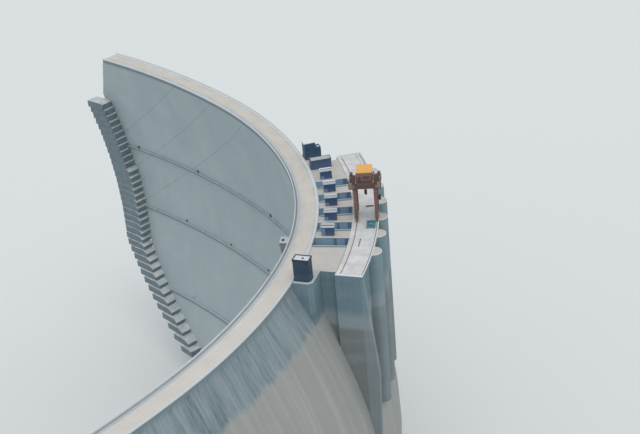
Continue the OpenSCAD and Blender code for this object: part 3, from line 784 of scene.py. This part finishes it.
# Lift towers and their shafts.
# Steel-framed towers clad in dark slate sheet over the lift shafts. A dark rim stands round
# the pale roof, and a thick pale kerb closes the shaft's top on its open sides.
tower_clad = clad("tower_sheet", "36495a", "263845", "2c3d47", TOP + 0.69)
far_tower_clad = clad("far_tower_sheet", "3a546d", "2b445c", "e4e9ec", TOP + 0.63)
dress(tower_clad, "left_lift_tower")
dress(far_tower_clad, "right_lift_tower")
roof_white = finish("roof_white_felt", "d7dbe2", 0.8, patch=0.1, strength=0.1)
TOWER_AT, TOWER_W, TOWER_IN, TOWER_OUT, TOWER_H = 4.255, 0.32, 0.02, 0.52, 0.72
place = frame_at(-TOWER_AT)
rim, sheet, vents = Shape(), Shape(), Shape()
low, high = TOP + TOWER_H + CLEAR, TOP + TOWER_H + 0.028
half = TOWER_W / 2 + 0.012
rim.box(place, (-half, TOWER_IN - 0.012, low), (-half + 0.022, TOWER_OUT + 0.012, high))
rim.box(place, (half - 0.022, TOWER_IN - 0.012, low), (half, TOWER_OUT + 0.012, high))
for y in (TOWER_IN - 0.012, TOWER_OUT - 0.01):
    rim.box(place, (-half + 0.0225, y, low), (half - 0.0225, y + 0.022, high))
sheet.box(place, (-half + 0.024, TOWER_IN + 0.012, low), (half - 0.024, TOWER_OUT - 0.012, low + 0.006))
vents.box(place, (-0.04, 0.29, low + 0.0065), (0.0, 0.33, low + 0.03))
vents.box(place, (-0.044, 0.286, low + 0.0305), (0.004, 0.334, low + 0.036))
for z in (0.2, 0.42):
    vents.box(place, (-0.05, TOWER_OUT + CLEAR, TOP + z), (0.05, TOWER_OUT + 0.005, TOP + z + 0.08))
vents.box(place, (-0.165, 0.24, TOP + 0.34), (-0.1605, 0.27, TOP + 0.37))
place = frame_at(TOWER_AT)
for z in (0.16, 0.36):
    vents.box(place, (-0.165, 0.1, TOP + z), (-0.1605, 0.16, TOP + z + 0.07))
sheet.box(place, (-0.1, 0.5, TOP + 0.4205), (-0.02, 0.58, TOP + 0.44))
for shape, name, paint, slot in (
    (rim, "tower_rims", tower_clad, "tower_cladding"),
    (sheet, "tower_roofs", roof_white, "parapet_concrete"),
    (vents, "tower_vents", dark_steel, "hook_steel"),
):
    made = shape.piece(name, paint)
    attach(made, "dam")
shaft_lines = []
for side in (-1, 1):
    far, near = side * 4.525, side * 3.76
    z = TOP + 0.028
    corners = ((far, 0.03), (far, 0.475), (side * 4.425, 0.6), (near, 0.6))
    shaft_lines.append([on_arch(s, out, z) for s, out in corners])
shaft_kerb = finish("shaft_kerb_concrete", "b7c2c9", 0.7, patch=0.3, strength=0.1)
shaft_kerbs = grow("shaft_kerbs", strip, shaft_lines, shaft_kerb, Width=0.045, Height=0.055)
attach(shaft_kerbs, "dam")

# Inspection galleries.
# Narrow walks cantilevered from the downstream face on brackets, with a railing outside and
# small openings in the arch that lead to them, each shown as a framed dark box of painted
# shadow. The walks' tops are painted pale and their upright faces and undersides dark, as
# painted light and shade.
HEAD, BULGE, BULGE_AT, CREST_W, BASE_W, BANDS = 0.25, 2.3, 0.58, 0.75, 3.4, 12


def downstream_at(depth):
    """Distance of the downstream face from the crest edge, negative like the road's."""
    t = max(depth - HEAD, 0) / (TOP - HEAD) * BANDS
    low = min(int(t), BANDS - 1)
    ends = []
    for k in (low, low + 1):
        u = k / BANDS
        ends.append(BULGE * (1 - ((u - BULGE_AT) / BULGE_AT) ** 2) - CREST_W - (BASE_W - CREST_W) * u ** 0.85)
    return ends[0] + (ends[1] - ends[0]) * (t - low)


def gallery_skin(graph):
    # Painted light and shade: the tops are painted pale and the upright faces and undersides dark.
    return graph.mix(graph.upward(), "7c8a92", "ccd4d7")


gallery = finish("gallery_concrete", "", 0.85, draw=gallery_skin, patch=0.5)
dress(gallery, "upper_gallery", "middle_gallery", "lower_gallery")
GALLERIES = zip(GALLERY_DEPTHS, (19.8, 19.3, 17.25), (
    (2.9, 8.98, 14.7, 19.0), (3.2, 9.74, 12.76, 16.13), (3.5, 9.9, 15.37),
))
GALLERY_W, GALLERY_T = 0.09, 0.06
rail_paths, bracket_paths, doorways, lintels = [], [], Shape(), Shape()
# Painted shadow: dark boxes on the face stand in for the dark inside the doorways.
shadow_paint = finish("doorway_shadow_paint", "2c363d", 0.7, patch=0.1, strength=0.2)
for depth, end, spots in GALLERIES:
    rim_out = downstream_at(depth) - GALLERY_W + 0.008
    rail_paths.append(along_arch(-end, end, rim_out, TOP - depth))
    under = depth + GALLERY_T
    bracket_paths.append(along_arch(-end + 0.1, end - 0.1, downstream_at(under) - 0.03, TOP - under - 0.021))
    for s in [side * spot for spot in spots for side in (-1, 1)]:
        place = frame_at(s)
        face = downstream_at(depth - 0.15)
        z = TOP - depth
        doorways.box(place, (-0.045, face - 0.012, z + CLEAR), (0.045, face + 0.04, z + 0.15))
        lintels.box(place, (-0.055, face - 0.02, z + 0.1505), (0.055, face + 0.04, z + 0.165))
        for x in (-0.055, 0.0455):
            lintels.box(place, (x, face - 0.018, z + CLEAR), (x + 0.0095, face + 0.04, z + 0.15))
rail_paint = finish("gallery_rail_paint", "a3afb5", 0.6, patch=0.2, strength=0.1)
rail_size = {"Height": 0.055, "Spacing": 0.1, "Post": 0.006, "Rail": 0.004}
gallery_rails = grow("gallery_railings", railing, rail_paths, rail_paint, **rail_size)
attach(gallery_rails, "dam")
bracket_size = {"Spacing": 0.25, "Size": (0.03, 0.055, 0.04), "Lift": 0.0}
brackets = grow("gallery_brackets", row, bracket_paths, gallery, **bracket_size)
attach(brackets, "dam")
for shape, name, paint, slot in (
    (doorways, "gallery_doorways", shadow_paint, "hook_steel"),
    (lintels, "gallery_door_frames", gallery, "gallery_concrete"),
):
    made = shape.piece(name, paint)
    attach(made, "dam")

# Abutment steps.
# Rough concrete berms that climb the excavated rock along the toe of the wings.


def step_skin(graph):
    # Painted shade: the risers and undersides are painted dark blue-grey against the pale treads.
    flat = graph.upward(0.4, 0.65)
    stain = graph.ramp(graph.noise(graph.object_place(), 0.4, 5.0, 0.65), 0.4, 0.65)
    tread = graph.mix(stain, "bcc3c4", "d6d9d8")
    return graph.mix(flat, "76848b", tread)


step = finish("step_concrete", "", 0.95, draw=step_skin, patch=0.3, grain=0.04, strength=0.25)
dress(step, "left_steps", "right_steps")
STEP_TOP, STEP_RISE, STEP_COUNT, STEP_RUN, STEP_LAP, STEP_W = 2.25, 0.3, 36, 0.05, 0.3, 0.56
OUTER_END = CREST_END + 1.0
ROCK_HALF, ROCK_REACH, ROCK_DROP, ROCK_ROUND = 20.85, 1.02, 1 / 0.27, 1 / 2.35


def step_from(i):
    """Where a step begins along the crest, on the rock's line or on a steeper one near its top."""
    depth = STEP_TOP + i * STEP_RISE
    rock = ROCK_HALF * (1 - (depth / (ROCK_REACH * TOP)) ** ROCK_DROP) ** ROCK_ROUND
    return min(rock, OUTER_END - STEP_RUN * i) - STEP_LAP


treads = Shape()
for i in range(STEP_COUNT - 1):
    depth = STEP_TOP + i * STEP_RISE
    start, z = step_from(i) - 0.001, TOP - depth
    room = 0.1 if i < 11 else 0.26
    near, far = downstream_at(depth) - 0.004, downstream_at(depth) - STEP_W + 0.002
    for side in (-1, 1):
        ring = []
        for out in (near, far):
            for s, drop in ((start, 0.002), (start - room, room * 0.5), (start - room, 0.28), (start, 0.28)):
                ring.append(treads.mesh.verts.new(on_arch(side * s, out, z - drop)))
        for face in ((0, 1, 2, 3), (4, 7, 6, 5), (0, 4, 5, 1), (1, 5, 6, 2), (2, 6, 7, 3), (3, 7, 4, 0)):
            treads.mesh.faces.new([ring[k] for k in face])
step_treads = treads.piece("step_treads", step)
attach(step_treads, "dam")

# Crest platform.
# A small landing on the downstream edge of the road, with a railing on its open sides and
# the hatch of the ladder that goes down from it.
dress(road, "crest_platform")
edge = ROAD_EDGE - 0.28
platform_path = [on_arch(-2.1, ROAD_EDGE - 0.01, TOP), on_arch(-2.1, edge + 0.008, TOP)]
platform_path += along_arch(-2.1, -1.7, edge + 0.008, TOP)[1:] + [on_arch(-1.7, ROAD_EDGE - 0.01, TOP)]
platform_size = {"Height": 0.055, "Spacing": 0.08, "Post": 0.004}
platform_rail = grow("platform_railing", railing, [platform_path], white_paint, **platform_size)
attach(platform_rail, "dam")
hatch = Shape()
place = frame_at(-1.9)
hatch.box(place, (-0.05, edge + 0.05, TOP + CLEAR), (0.05, edge + 0.13, TOP + 0.01))
hatch.box(place, (-0.06, edge + 0.04, TOP + CLEAR), (-0.051, edge + 0.14, TOP + 0.014))
hatch.box(place, (0.051, edge + 0.04, TOP + CLEAR), (0.06, edge + 0.14, TOP + 0.014))
corbel = Shape()
ring = []
for x in (-0.2, 0.2):
    for depth in (0.126, 0.9):
        ring.append(corbel.mesh.verts.new(place(x, downstream_at(depth) - 0.002, TOP - depth)))
        ring.append(corbel.mesh.verts.new(place(x, edge + (0.012 if depth < 0.5 else 0.12), TOP - depth)))
for face in ((0, 2, 3, 1), (4, 5, 7, 6), (0, 1, 5, 4), (2, 6, 7, 3), (0, 4, 6, 2), (1, 3, 7, 5)):
    corbel.mesh.faces.new([ring[k] for k in face])
bracket = corbel.piece("platform_corbel", gallery)
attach(bracket, "dam")
cover = hatch.piece("platform_hatch", dark_steel)
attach(cover, "dam")

# Gantry crane, portal and bogies.
# Welded boxes in faded red-brown paint, more olive towards the deck. Braces and stiffeners
# hold the legs, a ladder climbs the outer side, and rails guard the girders' ends.


def crane_skin(graph):
    x, y, z = graph.object_xyz()
    rust = graph.ramp(graph.noise(graph.object_place(), 0.12, 5.0, 0.65), 0.42, 0.68)
    high = graph.mix(rust, "85615b", "6f534f")
    low = graph.mix(rust, "7a6557", "6a5f52")
    legs = graph.mix(graph.ramp(z, TOP + 0.35, TOP + 0.8), low, high)
    return graph.mix(graph.ramp(z, TOP + 1.12, TOP + 1.2), legs, "63494a")


crane = finish("crane_paint", "", 0.6, draw=crane_skin, patch=0.2, grain=0.01, strength=0.18)
dress(crane, "crane_bogies", "crane_portal")
CRANE_AT, RAIL_TOP, PORTAL_H, GIRDER_H = -0.48, TOP + 0.014, 1.18, 0.15
crest_frame = frame_at(CRANE_AT)


def crane_place(x, y, z):
    """Place on the crane, from the middle between its rails."""
    return crest_frame(x, y + RAIL_MID, RAIL_TOP + z)


braces = []
for y in (-GAUGE / 2, GAUGE / 2):
    for foot, meeting in ((0.24, 0.68), (1.15, 0.72)):
        for x in (-0.25, 0.25):
            braces.append([crane_place(x, y, foot), crane_place(0.0, y, meeting)])
    braces.append([crane_place(-0.25, y, 0.7), crane_place(0.25, y, 0.7)])
brace = grow("crane_braces", strip, braces, crane, Width=0.035, Height=0.035)
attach(brace, "crane")
plates = Shape()
for x in (-0.3, 0.3):
    for y in (-GAUGE / 2, GAUGE / 2):
        for i in range(9):
            z = 0.16 + i * 0.12
            for side in (-1, 1):
                u, v = x + side * 0.0555, y + side * 0.0595
                plates.box(crane_place, (u - 0.004, y - 0.06, z), (u + 0.004, y + 0.06, z + 0.012))
                plates.box(crane_place, (x - 0.051, v - 0.004, z), (x + 0.051, v + 0.004, z + 0.012))
stiffeners = plates.piece("crane_stiffeners", crane)
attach(stiffeners, "crane")
ladder = Shape()
for y in (GAUGE / 2 + 0.08, -GAUGE / 2 - 0.08):
    for x in (-0.33, -0.27):
        ladder.tube(crane_place(x, y, 0.14), crane_place(x, y, 1.36), 0.005, 6)
    for i in range(30):
        z = 0.16 + i * 0.04
        ladder.tube(crane_place(-0.33, y, z), crane_place(-0.27, y, z), 0.003, 5)
ladders = ladder.piece("crane_ladders", crane)
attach(ladders, "crane")
cab = Shape()
cab.box(crane_place, (-0.06, GAUGE / 2 + 0.056, 0.62), (0.06, GAUGE / 2 + 0.15, 0.74))
cab.box(crane_place, (-0.066, GAUGE / 2 + 0.056, 0.7405), (0.066, GAUGE / 2 + 0.156, 0.75))
cab.box(crane_place, (-0.25, GAUGE / 2 + 0.04, 0.6), (0.25, GAUGE / 2 + 0.056, 0.62))
crane_cab = cab.piece("crane_switch_box", dark_steel)
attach(crane_cab, "crane")
machine_paint = finish("machine_paint", "857b6d", 0.6, patch=0.08, strength=0.35)
hoods = Shape()
for side in (-1, 1):
    low, high = sorted((side * 0.458, side * 0.51))
    hoods.box(crane_place, (-0.2, low, 1.331), (-0.03, high, 1.46))
    hoods.box(crane_place, (0.0, low, 1.331), (0.12, high, 1.42))
    hoods.box(crane_place, (-0.27, low, 1.331), (-0.22, high, 1.39))
    for face in (-1, 1):
        x, far = sorted((face * 0.3675, face * 0.415))
        low, high = sorted((side * 0.40, side * 0.50))
        hoods.box(crane_place, (x, low, 1.235), (far, high, 1.43))
        low, high = sorted((side * 0.335, side * 0.39))
        hoods.box(crane_place, (x, low, 1.24), (far, high, 1.325))
crane_hoods = hoods.piece("crane_machine_hoods", machine_paint)
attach(crane_hoods, "crane")
end_paths = []
for side in (-1, 1):
    corners = ((-0.3, 0.46), (-0.3, 0.513), (0.3, 0.513), (0.3, 0.46))
    end_paths.append([crane_place(x, side * y, 1.33) for x, y in corners])
end_rails = grow("crane_end_railings", railing, end_paths, crane, Height=0.055, Spacing=0.08, Post=0.005)
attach(end_rails, "crane")

# Hoist house.
# It rolls along the girders on its frame: purple-brown sheet walls with a door and a window,
# an orange roof, and winches under beige hoods on both sides.
HOUSE_Z = RAIL_TOP + PORTAL_H + GIRDER_H + CLEAR


def hoist_skin(graph):
    x, y, z = graph.object_xyz()
    ribs = line_mask(graph, graph.math("ADD", x, y), 0.03, 0.006)
    wall = graph.mix(graph.ramp(z, HOUSE_Z + 0.05, HOUSE_Z + 0.3), "6a5654", "826660")
    wall = graph.tint(ribs, 0.3, wall, "4a3838")
    return graph.mix(graph.math("GREATER_THAN", z, HOUSE_Z + 0.385), wall, "eeb264")


hoist = finish("hoist_house_paint", "", 0.55, draw=hoist_skin, patch=0.15, grain=0.01, strength=0.14)
dress(hoist, "crane_trolley")
winch, trims = Shape(), Shape()
z = PORTAL_H + GIRDER_H + CLEAR
for side in (-1, 1):
    low, high = sorted((side * 0.2502, side * 0.302))
    winch.box(crane_place, (-0.345, low, z + 0.03), (0.345, high, z + 0.05))
    winch.box(crane_place, (-0.34, low + 0.004, z + 0.0505), (-0.22, high - 0.002, z + 0.13))
    winch.box(crane_place, (0.22, low + 0.004, z + 0.0505), (0.34, high - 0.002, z + 0.13))
    winch.box(crane_place, (-0.18, low + 0.006, z + 0.0505), (-0.02, high - 0.006, z + 0.15))
    winch.box(crane_place, (0.02, low + 0.006, z + 0.0505), (0.1, high - 0.006, z + 0.12))
    start, end = sorted((side * 0.256, side * 0.3))
    winch.tube(crane_place(0.15, start, z + 0.09), crane_place(0.15, end, z + 0.09), 0.035, 14)
for x in (-0.28, 0.28):
    near, far = on_wall(x, 0.005)
    trims.box(crane_place, (near, -0.2, z + 0.055), (far, -0.12, z + 0.25))
    trims.box(crane_place, (near, -0.05, z + 0.18), (far, 0.16, z + 0.26))
winches = winch.piece("hoist_winches", machine_paint)
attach(winches, "trolley")
opening_paint = finish("hoist_opening_paint", "54484a", 0.5, patch=0.15, strength=0.1)
openings = trims.piece("hoist_house_openings", opening_paint)
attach(openings, "trolley")

# Hook block.
# Two cheek plates round a pair of sheaves on a pin, with a forged hook on its shank below,
# hung in the falls of the hoist rope.
hook = finish("hook_steel", "46524f", 0.5, metallic=0.4, patch=0.1)
dress(hook, "crane_ropes")
low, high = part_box("crane_hook")
middle = Vector(((low.x + high.x) / 2, (low.y + high.y) / 2, 0))
out = (on_arch(CRANE_AT, 1, 0) - on_arch(CRANE_AT, 0, 0)).normalized()
along = Vector((-out.y, out.x, 0))
shank_top, block_top = low.z + 0.045, high.z


def hook_place(x, y, z):
    return middle + along * x + out * y + Vector((0, 0, z))


block = Shape()
for x in (-0.026, 0.018):
    block.box(hook_place, (x, -0.045, shank_top), (x + 0.008, 0.045, block_top + 0.1))
block.box(hook_place, (-0.0175, -0.043, shank_top), (0.0175, 0.043, shank_top + 0.012))
for y in (-0.022, 0.022):
    block.tube(hook_place(-0.016, y, block_top + 0.06), hook_place(0.016, y, block_top + 0.06), 0.02, 16)
    block.tube(hook_place(-0.012, y, shank_top + 0.036), hook_place(0.012, y, shank_top + 0.036), 0.02, 16)
block.tube(hook_place(0, 0, shank_top - 0.018), hook_place(0, 0, shank_top), 0.008, 12)
HOOK_R, HOOK_DROP = 0.011, 0.029
bend = []
for i in range(13):
    a = i * math.pi / 8
    bend.append(hook_place(0, HOOK_R * math.sin(a), shank_top - HOOK_DROP + HOOK_R * math.cos(a)))
for a, b in zip(bend, bend[1:]):
    block.tube(a, b, 0.0045, 8)
hook_block = block.piece("hook_block", hook)
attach(hook_block, "hook")
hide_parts("crane_hook")

# Studio.
# A plain pale floor, an even sky and a wide soft sun from nearly overhead.
floor_mesh = bpy.data.meshes.new("floor")
floor_mesh.from_pydata([(-400, -400, 0), (400, -400, 0), (400, 400, 0), (-400, 400, 0)], [], [(0, 1, 2, 3)])
floor = placed("floor", floor_mesh)
floor.data.materials.append(finish("floor_paint", "e4e6e6", 0.9, bump=0.0, patch=30, strength=0.01))

world = bpy.data.worlds.new("sky")
bpy.context.scene.world = world
world.use_nodes = True
g = Graph(world.node_tree)
sky = world.node_tree.nodes["Background"]
ray = g.node("ShaderNodeLightPath").outputs
seen = g.math("MAXIMUM", ray["Is Glossy Ray"], ray["Is Transmission Ray"])
seen = g.math("MAXIMUM", ray["Is Camera Ray"], seen)
g.put(sky.inputs["Color"], g.mix(seen, (0.93, 0.97, 1.0, 1), "dce1e3"))
g.put(sky.inputs["Strength"], g.ramp(seen, 0.0, 1.0, 0.76, 1.0))

lamp = bpy.data.lights.new("sun", "SUN")
lamp.energy = 0.7
lamp.angle = math.radians(50)
lamp.color = (1.0, 0.98, 0.95)
sun = placed("sun", lamp)
sun.rotation_euler = Vector((0.55, 0.15, -1.0)).to_track_quat("-Z", "Y").to_euler()

# The camera stands high over the near bank and looks along the crest.
lens = bpy.data.cameras.new("camera")
lens.sensor_width = 36
lens.lens = 72
lens.clip_end = 1000
camera = placed("camera", lens)
yaw, pitch, roll = (math.radians(v) for v in (3.50, 27.79, -5.17))
forward = Vector((math.cos(yaw) * math.cos(pitch), math.sin(yaw) * math.cos(pitch), -math.sin(pitch)))
level = Vector((math.sin(yaw), -math.cos(yaw), 0))
right = math.cos(roll) * level + math.sin(roll) * level.cross(forward)
up = right.cross(forward)
eye = (-37.35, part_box("crest_road")[0].y - 2.3065, 34.04)
rows = [(right[i], up[i], -forward[i], eye[i]) for i in range(3)]
camera.matrix_world = Matrix(rows + [(0, 0, 0, 1)])
bpy.context.scene.camera = camera
bpy.context.scene.view_settings.view_transform = "Standard"
